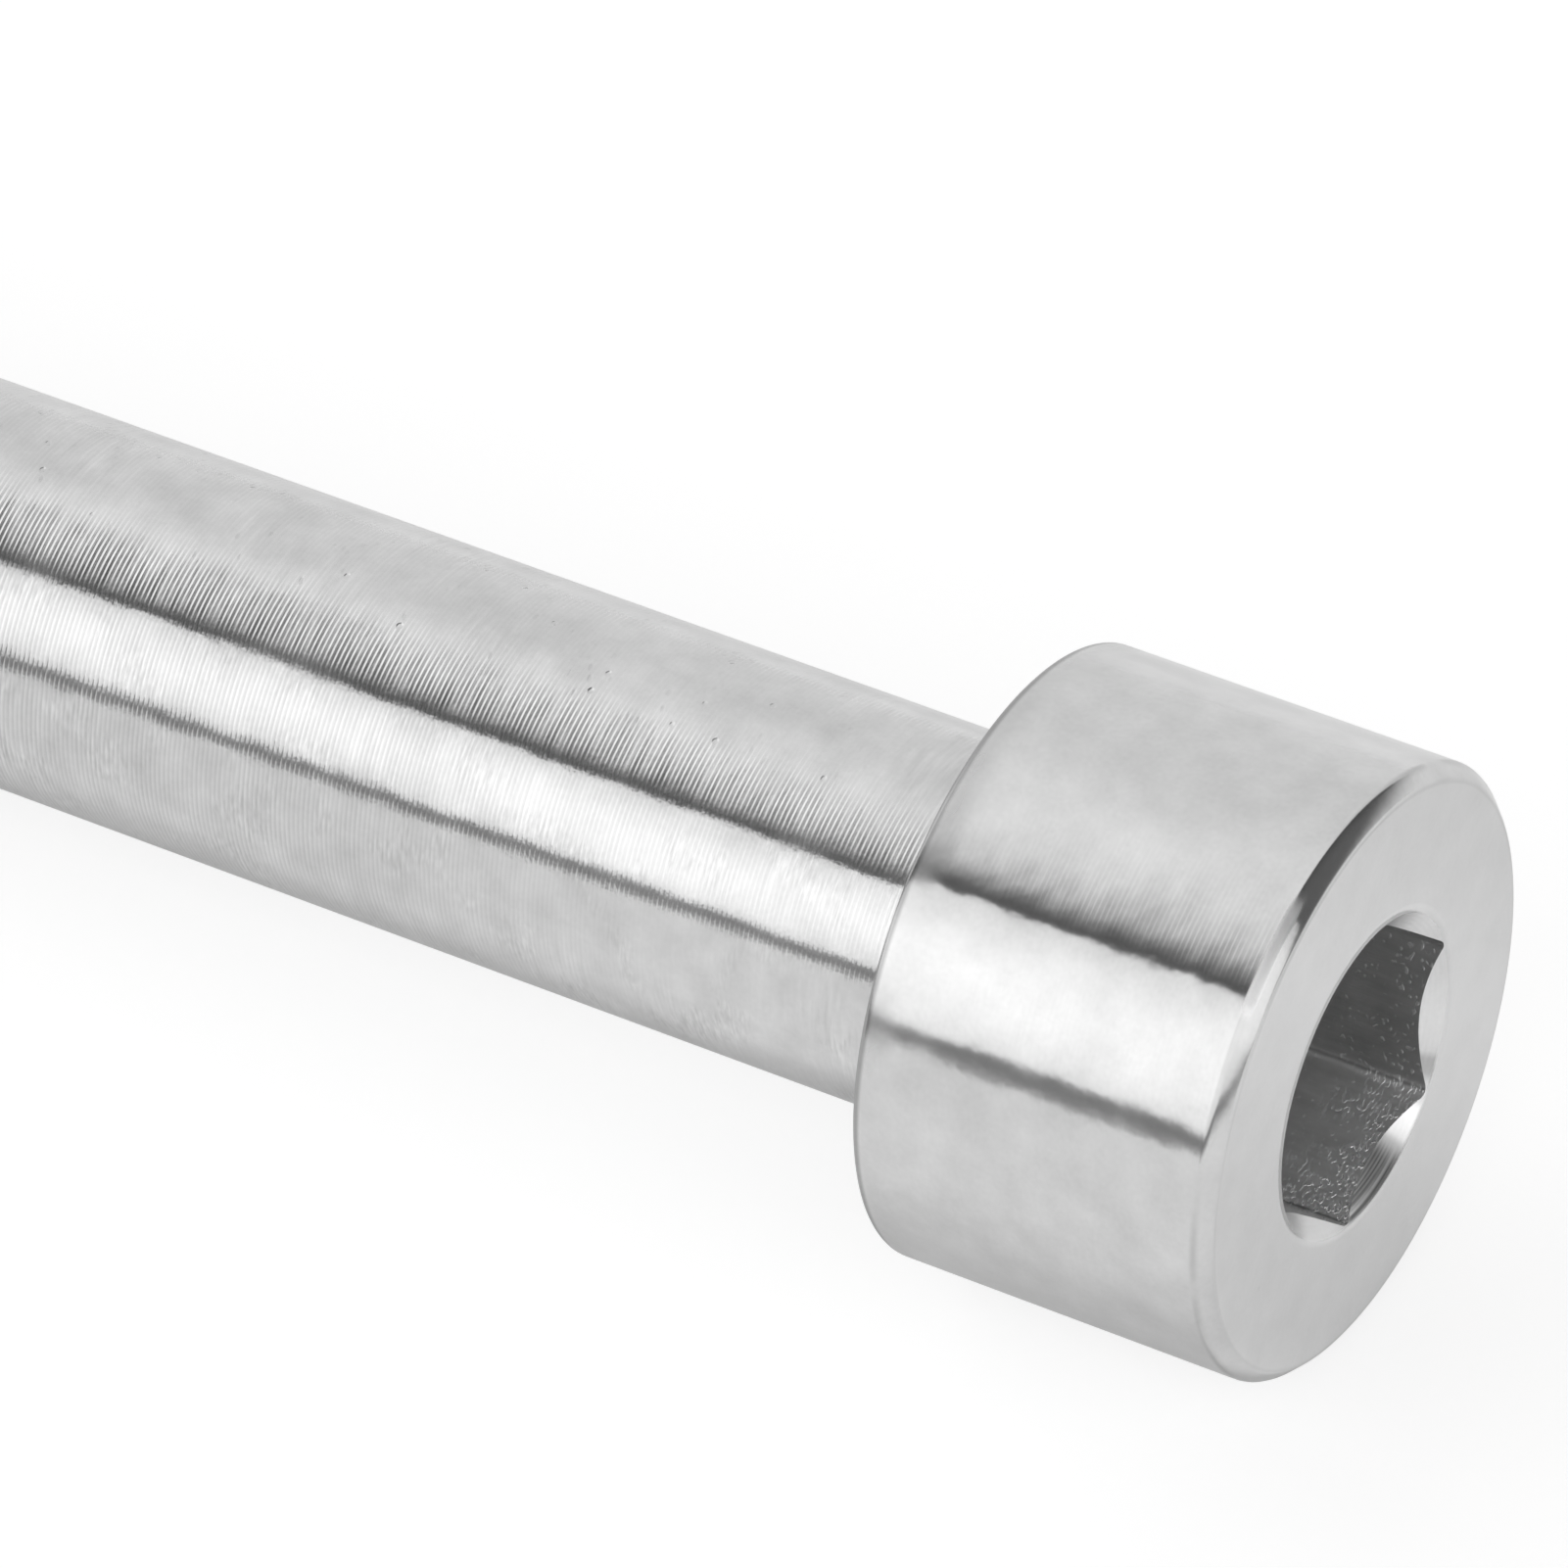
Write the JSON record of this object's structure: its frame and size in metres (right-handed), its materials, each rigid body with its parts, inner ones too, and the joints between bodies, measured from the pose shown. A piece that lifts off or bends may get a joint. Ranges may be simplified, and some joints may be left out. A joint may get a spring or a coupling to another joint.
{
  "type": "hexagon socket head bolt",
  "caption": "Steel bolt with a turned cylindrical head, a hexagon socket in its face, a plain shank and a right-hand thread up to a chamfered tip.",
  "frame": {"origin": "on the bolt's axis, in the plane of the bearing face under the head", "axes": "+Z along the axis from the head to the threaded tip; X is normal to two flats of the hexagon socket"},
  "size_m": [0.013, 0.013, 0.068],
  "materials": {
    "steel": "satin turned steel with fine feed marks"
  },
  "bodies": {
    "root": {"bolt": "steel"}
  },
  "joints": []
}
